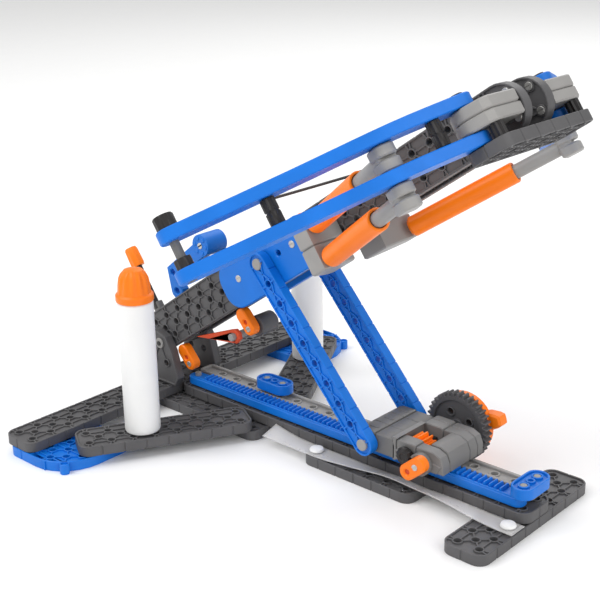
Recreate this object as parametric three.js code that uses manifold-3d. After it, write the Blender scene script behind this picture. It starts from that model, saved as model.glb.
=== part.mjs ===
// A tabletop dart crossbow built from a snap-together beam kit, on a rack-and-carriage elevation stand.
// Frame: millimetres, +Z up, +X forwards along the base, the object mirrored about the plane Y = 0.
// Right (_r) is the -Y side and left (_l) is the +Y side.
import * as THREE from 'three';
import { mergeVertices } from 'three/addons/utils/BufferGeometryUtils.js';
import Module from 'manifold-3d';

const wasm = await Module();
wasm.setup();

// ---------------------------------------------------------------- driving dimensions
const P = 12.7; // hole pitch of the beam system
const T = P / 2; // one layer: the thickness of every beam
const GAP = 0.3; // air between touching pieces
const LAYER = T - GAP; // thickness of a beam that leaves that air above it
const CORNER = T; // corner radius of a beam
const ARC = 4; // segments in a corner arc
const ROUND = 20; // segments in a circle

const baseLength = 20 * P;
const armAngle = THREE.MathUtils.degToRad(34.6); // elevation of the arm at rest
const armLength = 25 * P;
const pivot = { x: -0.8 * P, z: 38.5 }; // rear hinge of the arm
const pivotOnArm = { s: 0.7 * P, n: -0.555 * P }; // the same hinge, in arm coordinates
const strutLength = 9 * P; // pin to pin
const strutPinOnArm = 10 * P; // distance along the arm
const strutFootZ = 2 * P;
const strutInnerY = 1.5 * P;
const shaftFromFoot = 2 * P; // crank shaft, forward of the strut pins
const gearModule = P / 12; // 12 teeth on a pitch circle of one hole pitch

// arm origin and the forward position of the carriage follow from the linkage
const cosArm = Math.cos(armAngle);
const sinArm = Math.sin(armAngle);
const armOrigin = {
  x: pivot.x - pivotOnArm.s * cosArm + pivotOnArm.n * sinArm,
  z: pivot.z - pivotOnArm.s * sinArm - pivotOnArm.n * cosArm,
};
const strutTop = {
  x: armOrigin.x + strutPinOnArm * cosArm,
  z: armOrigin.z + strutPinOnArm * sinArm,
};
const strutDrop = strutTop.z - strutFootZ;
const footX = strutTop.x + Math.sqrt(strutLength ** 2 - strutDrop ** 2);
const shaftX = footX + shaftFromFoot;
const shaftZ = strutFootZ;

// ---------------------------------------------------------------- materials
const finishes = {
  darkGray: [0x57575a, 0.55],
  midGray: [0x6f6f6f, 0.5],
  lightGray: [0x9b9b98, 0.5],
  blue: [0x0f63c8, 0.35],
  orange: [0xff6f12, 0.35],
  black: [0x1f1d1e, 0.6],
  white: [0xf2f2f0, 0.4],
  film: [0xe3e2e0, 0.3],
  rubber: [0xd8441c, 0.7],
};

function finish(name) {
  const [color, roughness] = finishes[name];
  return new THREE.MeshStandardMaterial({ color, roughness, metalness: 0 });
}

// ---------------------------------------------------------------- solids
function toManifold(geometry) {
  const plain = geometry.clone();
  plain.deleteAttribute('normal');
  plain.deleteAttribute('uv');
  const merged = mergeVertices(plain, 1e-4);
  const vertProperties = new Float32Array(merged.attributes.position.array);
  const triVerts = new Uint32Array(merged.index.array);
  return new wasm.Manifold(new wasm.Mesh({ numProp: 3, vertProperties, triVerts }));
}

function toGeometry(solid) {
  const mesh = solid.getMesh();
  const geometry = new THREE.BufferGeometry();
  geometry.setAttribute('position', new THREE.BufferAttribute(new Float32Array(mesh.vertProperties), 3));
  geometry.setIndex(new THREE.BufferAttribute(new Uint32Array(mesh.triVerts), 1));
  return geometry;
}

function join(...geometries) {
  let solid = toManifold(geometries[0]);
  for (const geometry of geometries.slice(1)) {
    solid = solid.add(toManifold(geometry));
  }
  return toGeometry(solid);
}

function cut(geometry, ...tools) {
  let solid = toManifold(geometry);
  for (const tool of tools) {
    solid = solid.subtract(toManifold(tool));
  }
  return toGeometry(solid);
}

function extrude(shape, thickness) {
  return new THREE.ExtrudeGeometry(shape, { depth: thickness, bevelEnabled: false, curveSegments: ARC });
}

// a rounded rectangle from (x0, y0) to (x1, y1); radii of the corners -- , +- , ++ , -+
function roundedShape(x0, y0, x1, y1, radii) {
  const [a, b, c, d] = radii;
  const shape = new THREE.Shape();
  shape.moveTo(x0 + a, y0);
  shape.lineTo(x1 - b, y0);
  shape.absarc(x1 - b, y0 + b, b, -Math.PI / 2, 0, false);
  shape.lineTo(x1, y1 - c);
  shape.absarc(x1 - c, y1 - c, c, 0, Math.PI / 2, false);
  shape.lineTo(x0 + d, y1);
  shape.absarc(x0 + d, y1 - d, d, Math.PI / 2, Math.PI, false);
  shape.lineTo(x0, y0 + a);
  shape.absarc(x0 + a, y0 + a, a, Math.PI, 1.5 * Math.PI, false);
  return shape;
}

function slab(x0, y0, x1, y1, thickness, radius = CORNER) {
  return extrude(roundedShape(x0, y0, x1, y1, [radius, radius, radius, radius]), thickness);
}

function polygon(points) {
  return new THREE.Shape(points.map(([x, y]) => new THREE.Vector2(x, y)));
}

// cylinder along the local Z axis, from z0 to z1
function rod(radius, z0, z1, segments = ROUND) {
  const geometry = new THREE.CylinderGeometry(radius, radius, z1 - z0, segments);
  geometry.rotateX(Math.PI / 2);
  geometry.translate(0, 0, (z0 + z1) / 2);
  return geometry;
}

// the same along the local Y axis, at (x, z)
function rodAcross(radius, x, z, y0, y1, segments = ROUND) {
  const geometry = new THREE.CylinderGeometry(radius, radius, y1 - y0, segments);
  geometry.translate(x, (y0 + y1) / 2, z);
  return geometry;
}

function block(x0, x1, y0, y1, z0, z1) {
  const geometry = new THREE.BoxGeometry(x1 - x0, y1 - y0, z1 - z0);
  geometry.translate((x0 + x1) / 2, (y0 + y1) / 2, (z0 + z1) / 2);
  return geometry;
}

// turns a solid drawn in X and Y, with its thickness along Z, so that Y stands up and the thickness
// runs from y0 along +Y
function standing(geometry, y0) {
  geometry.rotateX(-Math.PI / 2);
  geometry.scale(1, 1, -1);
  turnOver(geometry);
  geometry.translate(0, y0, 0);
  return geometry;
}

// turns every triangle over, after a mirror
function turnOver(geometry) {
  if (geometry.index) {
    const index = geometry.index.array;
    for (let i = 0; i < index.length; i += 3) {
      [index[i + 1], index[i + 2]] = [index[i + 2], index[i + 1]];
    }
    return;
  }
  const position = geometry.attributes.position.array;
  for (let i = 0; i < position.length; i += 9) {
    for (let k = 0; k < 3; k += 1) {
      [position[i + 3 + k], position[i + 6 + k]] = [position[i + 6 + k], position[i + 3 + k]];
    }
  }
  geometry.computeVertexNormals();
}

// the same solid on the other side of the plane Y = 0
function mirrored(geometry) {
  const copy = geometry.clone();
  copy.scale(1, -1, 1);
  turnOver(copy);
  return copy;
}

// toothed outline of a spur gear about the origin
function gearShape(teeth, thin = 0.9) {
  const pitchRadius = (teeth * gearModule) / 2;
  const tip = pitchRadius + 0.95 * gearModule;
  const root = pitchRadius - 1.15 * gearModule;
  const step = (2 * Math.PI) / teeth;
  const points = [];
  for (let i = 0; i < teeth; i += 1) {
    const middle = i * step - Math.PI / 2;
    for (const [radius, share] of [[root, -0.33], [tip, -0.14], [tip, 0.14], [root, 0.33]]) {
      const angle = middle + share * thin * step;
      points.push([radius * Math.cos(angle), radius * Math.sin(angle)]);
    }
  }
  return polygon(points);
}

function circleHole(shape, x, y, radius, segments = 12) {
  const hole = new THREE.Path();
  for (let i = 0; i < segments; i += 1) {
    const angle = (-2 * Math.PI * i) / segments;
    const px = x + radius * Math.cos(angle);
    const py = y + radius * Math.sin(angle);
    if (i === 0) {
      hole.moveTo(px, py);
    } else {
      hole.lineTo(px, py);
    }
  }
  shape.holes.push(hole);
  return shape;
}

// ---------------------------------------------------------------- assembly
const assembly = new THREE.Group();
const arm = new THREE.Group(); // local X along the arm, local Z along its upward normal
arm.position.set(armOrigin.x, 0, armOrigin.z);
arm.rotation.y = -armAngle;
assembly.add(arm);

function put(parent, name, geometry, material) {
  const mesh = new THREE.Mesh(geometry, finish(material));
  mesh.name = name;
  parent.add(mesh);
  return mesh;
}

function putPair(parent, name, geometry, material) {
  put(parent, `${name}_r`, geometry, material);
  put(parent, `${name}_l`, mirrored(geometry), material);
}

// ---------------------------------------------------------------- base
const legOuterY = 10 * P;
const sidePlateX = 9 * P;
const braceStart = { x: 14.1, y: -105.2 }; // middle of the brace's outer end
const braceAngle = Math.PI / 3;

function buildBase() {
  const beam = slab(GAP, -P, baseLength, P, LAYER);
  beam.translate(0, 0, T);
  put(assembly, 'base_beam', beam, 'darkGray');
  put(assembly, 'front_cross_beam', slab(baseLength - 2 * P, -4 * P, baseLength, 4 * P, LAYER), 'darkGray');
  put(assembly, 'rear_plate', slab(-2 * P, -2 * P, 6 * P, 2 * P, LAYER), 'darkGray');
  put(assembly, 'side_plate', slab(sidePlateX, -2 * P, sidePlateX + 6 * P, 2 * P, LAYER), 'darkGray');

  const leg = slab(-2 * P, -legOuterY, 0, -GAP / 2, LAYER);
  leg.translate(0, 0, T);
  putPair(assembly, 'leg_beam', leg, 'darkGray');

  const brace = slab(0, -P, 8 * P, P, LAYER);
  brace.rotateZ(braceAngle);
  brace.translate(braceStart.x, braceStart.y, T);
  putPair(assembly, 'leg_brace', brace, 'darkGray');

  const footX0 = -1.75 * P;
  const foot = roundedShape(footX0, -legOuterY, footX0 + 4 * P, -6 * P - GAP, [CORNER, 2 * P, CORNER, CORNER]);
  putPair(assembly, 'foot_plate', extrude(foot, LAYER), 'blue');

  const bracket = polygon([
    [-2 * P, P + GAP],
    [0.2 * P, P + GAP],
    [0.45 * P, 1.45 * P],
    [0.05 * P, 2.8 * P],
    [-0.35 * P, 3.45 * P],
    [-P, 3.65 * P],
    [-1.7 * P, 3.2 * P],
  ]);
  putPair(assembly, 'pivot_bracket', standing(extrude(bracket, LAYER), -strutInnerY), 'darkGray');
}

// ---------------------------------------------------------------- rack, rail and stops
const rackY0 = -9.8;
const rackY1 = -0.4;
const railY1 = 12.2;
const rackStart = 0.3 * P;
const rackEnd = baseLength - 0.45 * P;
const railTop = 1.5 * P;

function buildTrack() {
  const toothPitch = Math.PI * gearModule;
  const pitchZ = shaftZ - 6 * gearModule; // 12-tooth pinion above the rack's pitch line
  const rootZ = pitchZ - 1.2 * gearModule;
  const tipZ = pitchZ + 0.85 * gearModule;
  const back = Math.floor((shaftX - rackStart - P) / toothPitch);
  const ahead = Math.floor((baseLength - 1.2 * P - shaftX) / toothPitch);
  const points = [[rackStart, P], [rackEnd, P], [rackEnd, rootZ]];
  for (let i = ahead; i >= -back; i -= 1) {
    const middle = shaftX + (i + 0.5) * toothPitch;
    points.push([middle + 0.3 * toothPitch, rootZ]);
    points.push([middle + 0.12 * toothPitch, tipZ]);
    points.push([middle - 0.12 * toothPitch, tipZ]);
    points.push([middle - 0.3 * toothPitch, rootZ]);
  }
  points.push([rackStart, rootZ]);
  put(assembly, 'rack_gear', standing(extrude(polygon(points), rackY1 - rackY0), rackY0), 'blue');

  const rail = slab(rackStart, -rackY1, rackEnd, railY1, LAYER, T / 2);
  rail.translate(0, 0, P);
  put(assembly, 'slide_rail', rail, 'lightGray');

  const frontStop = slab(baseLength - P, -P, baseLength, P, LAYER);
  frontStop.translate(0, 0, railTop + GAP);
  put(assembly, 'front_stop', frontStop, 'blue');

  const rearStop = slab(-T, -T, 1.5 * P, T, LAYER);
  rearStop.translate(4.6 * P, T, railTop + GAP + 1);
  put(assembly, 'rear_stop', rearStop, 'blue');

  const strip = slab(6.6 * P, -2 * P, baseLength - 0.2, -P - GAP, 0.8, 3);
  strip.translate(0, 0, T);
  put(assembly, 'film_strip', strip, 'film');
}

// ---------------------------------------------------------------- carriage on the rack
const housingHalf = strutInnerY - GAP;
const pinionHalf = (rackY1 - rackY0) / 2 - 0.1;
const pinionY = (rackY0 + rackY1) / 2;
const gearY0 = 2 * P + GAP;

function buildCarriage() {
  const rearX0 = footX - 0.75 * P;
  const rearX1 = footX + 1.35 * P;
  const frontX1 = shaftX + 1.8 * P;
  const bottom = railTop + 1.3;

  const rear = extrude(
    polygon([
      [rearX0, bottom],
      [rearX1, bottom],
      [rearX1, 2.5 * P],
      [rearX0 + T, 2.5 * P],
      [rearX0, 2.2 * P],
    ]),
    2 * housingHalf,
  );
  put(assembly, 'gearbox_housing', standing(rear, -housingHalf), 'midGray');

  const hood = standing(
    extrude(
      polygon([
        [rearX1 + GAP, bottom],
        [frontX1, bottom],
        [frontX1, 2.1 * P],
        [frontX1 - T, 2.6 * P],
        [rearX1 + GAP, 2.6 * P],
      ]),
      2 * housingHalf,
    ),
    -housingHalf,
  );
  const lockBoss = rodAcross(4.6, shaftX + 0.8 * P, 1.9 * P, -housingHalf - 4, -housingHalf + 1);
  const windowHalf = pinionHalf + 0.5;
  const window = block(shaftX - 8.4, shaftX + 8.4, pinionY - windowHalf, pinionY + windowHalf, bottom - 1, 3 * P);
  const bore = rodAcross(2.2, shaftX, shaftZ, -2 * P, 2 * P, 12);
  put(assembly, 'gearbox_cover', cut(join(hood, lockBoss), window, bore), 'lightGray');

  buildCrank();

  const lever = slab(-0.73 * P, -0.36 * P, 0.73 * P, 0.36 * P, LAYER - 1, 0.35 * P);
  lever.rotateZ(THREE.MathUtils.degToRad(41));
  lever.translate(shaftX + 0.8 * P, 1.9 * P, 0);
  put(assembly, 'lock_lever', standing(lever, -housingHalf - 4.3 - LAYER + 1), 'orange');
}

function buildCrank() {
  const pinion = standing(extrude(circleHole(gearShape(12, 0.8), 0, 0, 1.95), 2 * pinionHalf), pinionY - pinionHalf);
  pinion.translate(shaftX, 0, shaftZ);
  put(assembly, 'pinion', pinion, 'orange');

  const gear = standing(extrude(circleHole(gearShape(36), 0, 0, 1.95), LAYER), gearY0);
  gear.translate(shaftX, 0, shaftZ);
  put(assembly, 'crank_gear', gear, 'darkGray');

  const shaft = rodAcross(1.65, shaftX, shaftZ, -housingHalf - 1, gearY0 + LAYER, 12);
  const collar = rodAcross(5.2, shaftX, shaftZ, -housingHalf - 3.6, -housingHalf - 0.4, 16);
  put(assembly, 'crank_shaft', join(shaft, collar), 'black');

  const knobY0 = gearY0 + LAYER + GAP;
  const disc = rodAcross(1.42 * P, 0, 0, knobY0, knobY0 + 4.5, 32);
  const grip = standing(
    extrude(
      polygon([
        [-0.9 * P, -0.32 * P],
        [1.3 * P, -0.4 * P],
        [1.95 * P, -0.25 * P],
        [1.95 * P, 0.25 * P],
        [1.3 * P, 0.4 * P],
        [-0.9 * P, 0.32 * P],
      ]),
      8,
    ),
    knobY0 + 0.5,
  );
  const knob = join(disc, grip);
  knob.rotateY(THREE.MathUtils.degToRad(-18));
  knob.translate(shaftX, 0, shaftZ);
  put(assembly, 'crank_knob', knob, 'orange');
}

// ---------------------------------------------------------------- elevation struts
function buildStruts() {
  const shape = roundedShape(-T, -T, strutLength + T, T, [T, T, T, T]);
  for (let i = 1; i < 9; i += 1) {
    circleHole(shape, i * P, 0, 2.1, 8);
  }
  const strut = standing(extrude(shape, LAYER), -2 * P + GAP / 2);
  strut.rotateY(-Math.acos((strutTop.x - footX) / strutLength));
  strut.translate(footX, 0, strutFootZ);
  putPair(assembly, 'strut', strut, 'blue');
}

// ---------------------------------------------------------------- arm
const panelInnerY = T + GAP / 2;
const plateLow = -P + GAP / 2; // underside of the lower limb plates, along the arm's normal
const headDepth = 2 * P;

function buildArm() {
  const panelShape = roundedShape(0, -P, armLength, P, [CORNER, P, P, CORNER]);
  const panel = standing(extrude(panelShape, LAYER), -panelInnerY - LAYER);
  putPair(arm, 'arm_beam', panel, 'darkGray');
  put(arm, 'arm_core', block(1.5 * P, armLength - 1.5 * P, -T, T, -3, 3), 'darkGray');

  const coverShape = roundedShape(6.7 * P, -1.25 * P, 12.9 * P, P, [0.9 * P, T, T, 0.9 * P]);
  putPair(arm, 'side_cover', standing(extrude(coverShape, LAYER), -strutInnerY + GAP / 2), 'blue');

  const head = slab(armLength - headDepth, -3 * P, armLength, 3 * P, LAYER);
  head.translate(0, 0, -1.5 * P);
  put(arm, 'head_plate', head, 'darkGray');

  const connector = extrude(
    polygon([
      [armLength - 2.3 * P, -P - GAP],
      [armLength - 2.3 * P, -2.3 * P],
      [armLength - 1.6 * P, -3.2 * P],
      [armLength - 0.9 * P, -3.2 * P],
      [armLength - 0.1 * P, -2.8 * P],
      [armLength - 0.1 * P, -P - GAP],
    ]),
    P - 2 * GAP,
  );
  connector.translate(0, 0, -T + GAP);
  putPair(arm, 'limb_connector', connector, 'lightGray');
}

// ---------------------------------------------------------------- bow limbs and pistons
const limbRoot = { s: 301, y: -34 };
const limbCentreLine = [
  [limbRoot.s, limbRoot.y],
  [284, -66],
  [252, -102],
  [216, -146],
];
const limbHalfWidth = 0.48 * P;
const postAt = { s: 244, y: -112 };
const pistonTail = { s: 188, y: -33 };
const pistonHead = { s: 278.3, y: -69.2 };
const tubeLength = 66;
const tubeRadius = 5.8;
const rodRadius = 3.9;
const pistonLevels = { upper: 0, lower: -1.5 * P };

// outline of a strip of constant width about a polyline, with round ends
function stripShape(points, half) {
  const sides = [[], []];
  points.forEach(([x, y], i) => {
    const before = points[Math.max(i - 1, 0)];
    const after = points[Math.min(i + 1, points.length - 1)];
    const length = Math.hypot(after[0] - before[0], after[1] - before[1]);
    const nx = (-(after[1] - before[1]) / length) * half;
    const ny = ((after[0] - before[0]) / length) * half;
    sides[0].push([x + nx, y + ny]);
    sides[1].unshift([x - nx, y - ny]);
  });
  const cap = (end, next) => {
    const [x, y] = end;
    const start = Math.atan2(y - next[1], x - next[0]) + Math.PI / 2;
    const arc = [];
    for (let i = 1; i < 8; i += 1) {
      const angle = start - (Math.PI * i) / 8;
      arc.push([x + half * Math.cos(angle), y + half * Math.sin(angle)]);
    }
    return arc;
  };
  const last = points.length - 1;
  return polygon([
    ...sides[0],
    ...cap(points[last], points[last - 1]),
    ...sides[1],
    ...cap(points[0], points[1]),
  ]);
}

function buildLimbs() {
  for (const [name, low] of [['lower', plateLow], ['upper', T + GAP / 2]]) {
    const plate = extrude(stripShape(limbCentreLine, limbHalfWidth), LAYER);
    plate.translate(0, 0, low);
    putPair(arm, `limb_plate_${name}`, plate, 'blue');
  }
  const post = rod(3.6, -T + GAP, T - GAP, 12);
  post.translate(postAt.s, postAt.y, 0);
  putPair(arm, 'limb_post', post, 'black');

  const mount = extrude(
    polygon([
      [pistonTail.s - 1.7 * P, -P - GAP],
      [pistonTail.s - 1.7 * P, -1.5 * P],
      [pistonTail.s - 0.9 * P, -3.1 * P],
      [pistonTail.s - 0.1 * P, -3.1 * P],
      [pistonTail.s - 0.1 * P, -1.8 * P],
      [pistonTail.s - 0.3 * P, -P - GAP],
    ]),
    2.2 * P,
  );
  mount.translate(0, 0, -1.9 * P);
  putPair(arm, 'piston_mount', mount, 'lightGray');
}

// a piston lies along local X from its tail, in the plane of its level
function buildPistons() {
  const reach = Math.hypot(pistonHead.s - pistonTail.s, pistonHead.y - pistonTail.y);
  const swing = Math.atan2(pistonHead.y - pistonTail.y, pistonHead.s - pistonTail.s);
  const alongX = (geometry) => geometry.rotateY(Math.PI / 2);
  for (const [name, level] of Object.entries(pistonLevels)) {
    const tube = cut(alongX(rod(tubeRadius, 1, tubeLength)), alongX(rod(rodRadius + GAP, 8, tubeLength + 1)));
    const stem = alongX(rod(rodRadius, 20, reach - 3));
    const clevis = slab(reach - T, -T, reach + T, T, P - 2 * GAP, 2);
    clevis.translate(0, 0, -T + GAP);
    const pieces = [['piston_tube', tube, 'orange'], ['piston_rod', join(stem, clevis), 'lightGray']];
    for (const [piece, geometry, material] of pieces) {
      geometry.rotateZ(swing);
      geometry.translate(pistonTail.s, pistonTail.y, level);
      putPair(arm, `${piece}_${name}`, geometry, material);
    }
  }
}

// ---------------------------------------------------------------- string, levers and band
const stringN = P + 1.6; // height of the bowstring above the arm's middle
const stringRoute = [[211, -141], [207.5, -72], [206, 0], [207.5, 72], [211, 141]];
const triggerAt = { s: 5.4, y: -5 };
const cockingRoute = [[27, 17.5], [29.5, 28.5], [69, 31.2]];
const drumAt = { s: 71, n: 31.2 };
const latchN = -23.3;
const latchTilt = THREE.MathUtils.degToRad(7);
const latches = { rear: 18.5, front: 82.5 };

function buildFiring() {
  const route = new THREE.CatmullRomCurve3(stringRoute.map(([s, y]) => new THREE.Vector3(s, y, stringN)));
  const section = new THREE.Shape();
  section.absarc(0, 0, 0.9, 0, 2 * Math.PI, false);
  const cord = new THREE.ExtrudeGeometry(section, { steps: 12, curveSegments: 4, extrudePath: route });
  put(arm, 'bowstring', cord, 'black');

  const shaft = rod(1.9, P + 2, 4 * P, 10);
  const tip = rod(4.6, 3.55 * P, 4.5 * P, 12);
  const trigger = join(shaft, tip, rodAcross(2.6, 0, P + 3, -3, 3, 12));
  trigger.translate(triggerAt.s, triggerAt.y, 0);
  put(arm, 'trigger_lever', trigger, 'orange');

  const lever = standing(extrude(stripShape(cockingRoute, 0.42 * P), LAYER), -LAYER / 2);
  const drum = rodAcross(6.9, drumAt.s, drumAt.n, -8, 8, 18);
  put(arm, 'cocking_lever', join(lever, drum), 'blue');

  for (const [name, s] of Object.entries(latches)) {
    const latch = slab(-0.33 * P, -0.62 * P, 0.33 * P, 0.74 * P, LAYER, 0.32 * P);
    latch.rotateZ(latchTilt);
    latch.translate(s, latchN, 0);
    put(arm, `latch_lever_${name}`, standing(latch, -P + GAP), 'orange');
  }

  const loop = polygon([[66, -30.8], [70.5, -29.6], [72, -26.4], [70.5, -23.2], [66, -21.8], [35.5, -14.7]]);
  loop.holes.push(polygon([[69, -25.2], [69, -27.6], [66, -28.8], [45.5, -19.8], [66, -23.8]]));
  put(arm, 'rubber_band', standing(extrude(loop, 3), -P + 1.5), 'rubber');
}

// ---------------------------------------------------------------- darts
const dartAt = { x: 32.9, y: -71.5 };
const dartRadius = 10.3;
const dartBottom = P;
const dartLength = 79;
const capLength = 19;

function buildDarts() {
  const body = rod(dartRadius, dartBottom, dartBottom + dartLength);
  body.translate(dartAt.x, dartAt.y, 0);
  putPair(assembly, 'dart_body', body, 'white');
  const capBottom = dartBottom + dartLength + GAP;
  const capTop = dartBottom + dartLength + capLength;
  const capProfile = [
    [0, capBottom],
    [dartRadius + 0.4, capBottom],
    [dartRadius + 0.4, capBottom + 3.7],
    [dartRadius - 1.1, capBottom + 4.7],
    [dartRadius - 1.5, capBottom + 13.7],
    [dartRadius - 3.3, capTop - 2],
    [0.35 * dartRadius, capTop - 0.3],
    [0, capTop],
  ].map(([radius, z]) => new THREE.Vector2(radius, z));
  const cap = new THREE.LatheGeometry(capProfile, ROUND);
  cap.rotateX(Math.PI / 2);
  cap.translate(dartAt.x, dartAt.y, 0);
  putPair(assembly, 'dart_cap', cap, 'orange');
}

buildBase();
buildTrack();
buildCarriage();
buildStruts();
buildArm();
buildLimbs();
buildPistons();
buildFiring();
buildDarts();

export default assembly;
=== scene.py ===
"""Looks of a tabletop dart crossbow made of snap-together beams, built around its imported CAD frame.

Lengths in this script are millimetres until a mesh is made; SCALE turns them into metres.
Right (_r) is the -Y side and left (_l) is the +Y side.
"""

import math

import bpy
import numpy as np
from mathutils import Matrix, Vector
from mathutils.geometry import tessellate_polygon


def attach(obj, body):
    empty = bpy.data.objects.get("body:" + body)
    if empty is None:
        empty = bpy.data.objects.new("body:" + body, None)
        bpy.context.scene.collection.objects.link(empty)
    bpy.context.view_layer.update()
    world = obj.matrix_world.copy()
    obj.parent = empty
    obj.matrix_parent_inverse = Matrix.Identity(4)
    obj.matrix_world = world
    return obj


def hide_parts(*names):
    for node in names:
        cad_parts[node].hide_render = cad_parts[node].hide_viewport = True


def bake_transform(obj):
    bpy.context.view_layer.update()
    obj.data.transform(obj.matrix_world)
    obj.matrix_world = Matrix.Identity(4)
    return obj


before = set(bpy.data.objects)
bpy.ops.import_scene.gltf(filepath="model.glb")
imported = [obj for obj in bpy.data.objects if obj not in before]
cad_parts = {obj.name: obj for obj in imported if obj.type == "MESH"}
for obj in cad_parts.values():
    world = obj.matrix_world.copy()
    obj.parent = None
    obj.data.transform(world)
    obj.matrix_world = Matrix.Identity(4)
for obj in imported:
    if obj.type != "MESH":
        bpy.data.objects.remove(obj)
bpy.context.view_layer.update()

SCALE = 0.001

# ---------------------------------------------------------------- dimensions of the CAD model
P = 12.7  # hole pitch of the beam system
T = P / 2  # one layer
GAP = 0.3
LAYER = T - GAP
CORNER = T
HOLE = 2.05  # radius of a beam's holes
BOSS = 2.8  # outer radius of the ring round a hole
RIM = 1.15  # wall round a beam
SINK = 0.95  # depth of the pockets between a beam's ribs
RIB = 0.9

ARM_ANGLE = math.radians(34.6)
PIVOT = (-0.8 * P, 38.5)
COS, SIN = math.cos(ARM_ANGLE), math.sin(ARM_ANGLE)
PIVOT_ON_ARM = (0.7 * P, -0.555 * P)
ARM_X = PIVOT[0] - PIVOT_ON_ARM[0] * COS + PIVOT_ON_ARM[1] * SIN
ARM_Z = PIVOT[1] - PIVOT_ON_ARM[0] * SIN - PIVOT_ON_ARM[1] * COS
STRUT_LENGTH = 9 * P
STRUT_TOP = (ARM_X + 10 * P * COS, ARM_Z + 10 * P * SIN)
FOOT_X = STRUT_TOP[0] + math.sqrt(STRUT_LENGTH**2 - (STRUT_TOP[1] - 2 * P) ** 2)
SHAFT_X = FOOT_X + 2 * P
SHAFT_Z = 2 * P
STRUT_ANGLE = -math.acos((FOOT_X - STRUT_TOP[0]) / STRUT_LENGTH)
ARM_LENGTH = 25 * P


# ---------------------------------------------------------------- camera
def make_camera():
    data = bpy.data.cameras.new("camera")
    data.lens = 72.74
    data.sensor_width = 36
    camera = bpy.data.objects.new("camera", data)
    bpy.context.scene.collection.objects.link(camera)
    azimuth, elevation, roll = math.radians(42.449), math.radians(19.93), math.radians(-0.886)
    back = Vector((
        math.sin(azimuth) * math.cos(elevation),
        -math.cos(azimuth) * math.cos(elevation),
        math.sin(elevation),
    ))
    right = Vector((0, 0, 1)).cross(back).normalized()
    up = back.cross(right)
    right, up = (
        math.cos(roll) * right + math.sin(roll) * up,
        -math.sin(roll) * right + math.cos(roll) * up,
    )
    camera.matrix_world = Matrix.Translation((0.52925, -0.47792, 0.32055)) @ Matrix(
        [right, up, back]
    ).transposed().to_4x4()
    data.clip_start = 0.05
    data.clip_end = 20
    bpy.context.scene.camera = camera


# ---------------------------------------------------------------- materials
def node(tree, kind, **values):
    made = tree.nodes.new(kind)
    for key, value in values.items():
        setattr(made, key, value)
    return made


def noise(tree, coordinates, scale, detail, distortion=0.0):
    made = node(tree, "ShaderNodeTexNoise")
    made.inputs["Scale"].default_value = scale
    made.inputs["Detail"].default_value = detail
    made.inputs["Distortion"].default_value = distortion
    tree.links.new(coordinates, made.inputs["Vector"])
    return made.outputs["Fac"]


def ramp(tree, factor, low, high, position=(0.3, 0.7)):
    made = node(tree, "ShaderNodeValToRGB")
    for element, place, colour in zip(made.color_ramp.elements, position, (low, high)):
        element.position = place
        element.color = (*colour, 1)
    tree.links.new(factor, made.inputs["Fac"])
    return made.outputs["Color"]


def spread(tree, factor, low, high):
    made = node(tree, "ShaderNodeMapRange")
    made.inputs["To Min"].default_value = low
    made.inputs["To Max"].default_value = high
    tree.links.new(factor, made.inputs["Value"])
    return made.outputs["Result"]


def plastic(name, colour, roughness, change=0.1, grain=0.05, grain_scale=2600, sheen=0.0):
    """Moulded plastic: slow colour drift from the flow, fine grain, uneven gloss and handling marks."""
    material = bpy.data.materials.new(name)
    material.use_nodes = True
    tree = material.node_tree
    shader = tree.nodes["Principled BSDF"]
    place = node(tree, "ShaderNodeTexCoord").outputs["Object"]
    drift = noise(tree, place, 38, 4, 0.6)
    low = [c * (1 - change) for c in colour]
    high = [min(1, c * (1 + change) + 0.004) for c in colour]
    tree.links.new(ramp(tree, drift, low, high), shader.inputs["Base Color"])
    marks = noise(tree, place, 420, 6, 1.4)
    tree.links.new(spread(tree, marks, roughness - 0.09, roughness + 0.11), shader.inputs["Roughness"])
    fine = noise(tree, place, grain_scale, 2)
    bump = node(tree, "ShaderNodeBump")
    bump.inputs["Strength"].default_value = grain
    bump.inputs["Distance"].default_value = 0.0002
    tree.links.new(fine, bump.inputs["Height"])
    tree.links.new(bump.outputs["Normal"], shader.inputs["Normal"])
    shader.inputs["IOR"].default_value = 1.4
    shader.inputs["Sheen Weight"].default_value = sheen
    return material


def steel(name):
    """Turned and slotted metal with a fine noise grain."""
    material = plastic(name, (0.55, 0.54, 0.52), 0.34, 0.12, 0.08, 3200)
    shader = material.node_tree.nodes["Principled BSDF"]
    shader.inputs["Metallic"].default_value = 0.75
    return material


def film(name):
    """Frosted, see-through plastic strip."""
    material = plastic(name, (0.93, 0.92, 0.91), 0.3, 0.02, 0.03, 900)
    shader = material.node_tree.nodes["Principled BSDF"]
    shader.inputs["Alpha"].default_value = 0.6
    shader.inputs["Transmission Weight"].default_value = 0.35
    return material


def braid(name):
    """Twisted black cord: slanted strands round the string."""
    material = plastic(name, (0.03, 0.026, 0.026), 0.75, 0.3, 0.1, 1800, sheen=0.3)
    tree = material.node_tree
    shader = tree.nodes["Principled BSDF"]
    place = node(tree, "ShaderNodeTexCoord").outputs["Object"]
    wave = node(tree, "ShaderNodeTexWave")
    wave.bands_direction = "DIAGONAL"
    wave.inputs["Scale"].default_value = 500
    tree.links.new(place, wave.inputs["Vector"])
    bump = node(tree, "ShaderNodeBump")
    bump.inputs["Strength"].default_value = 0.6
    bump.inputs["Distance"].default_value = 0.0003
    tree.links.new(wave.outputs["Fac"], bump.inputs["Height"])
    tree.links.new(bump.outputs["Normal"], shader.inputs["Normal"])
    return material


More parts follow.
